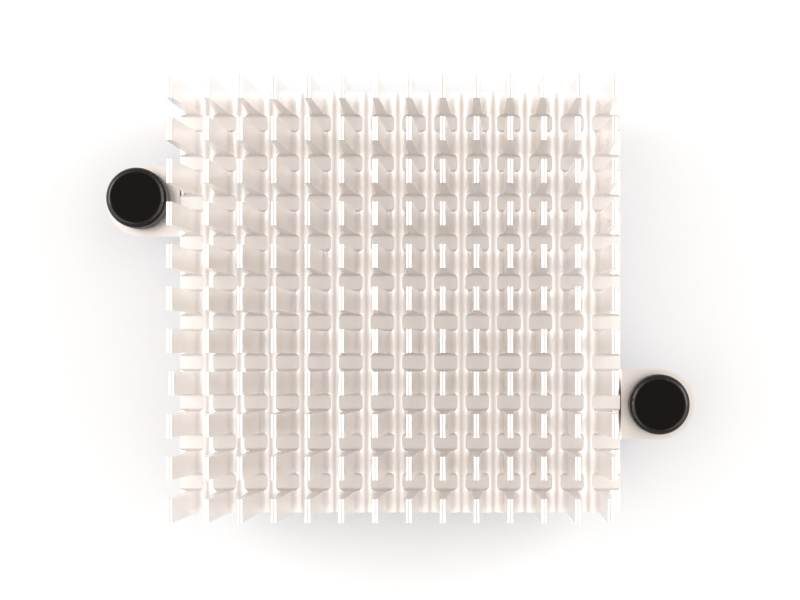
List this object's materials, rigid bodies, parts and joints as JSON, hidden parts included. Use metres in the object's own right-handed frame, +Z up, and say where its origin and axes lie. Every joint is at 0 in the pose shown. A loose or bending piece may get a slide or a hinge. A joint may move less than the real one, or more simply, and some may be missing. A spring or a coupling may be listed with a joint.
{
  "type": "pin fin heat sink",
  "caption": "Square extruded aluminium heat sink with fins saw-cut into a field of flat pins, and diagonal round-ended ears that hold black nylon push pins.",
  "frame": {"origin": "middle of the base's underside, the flat face that meets the chip", "axes": "+Z up the pins and away from the board, +Y along the extruded fins, +X across the fins"},
  "size_m": [0.0632, 0.045, 0.0225],
  "materials": {
    "aluminium": "bare extruded 6063 aluminium, etched to a soft satin, with saw-cut pads",
    "nylon": "moulded black nylon, fine matt with a smoother bevel"
  },
  "bodies": {
    "root": {"heat_sink": "aluminium", "push_pin_left": "nylon", "push_pin_right": "nylon"}
  },
  "joints": []
}
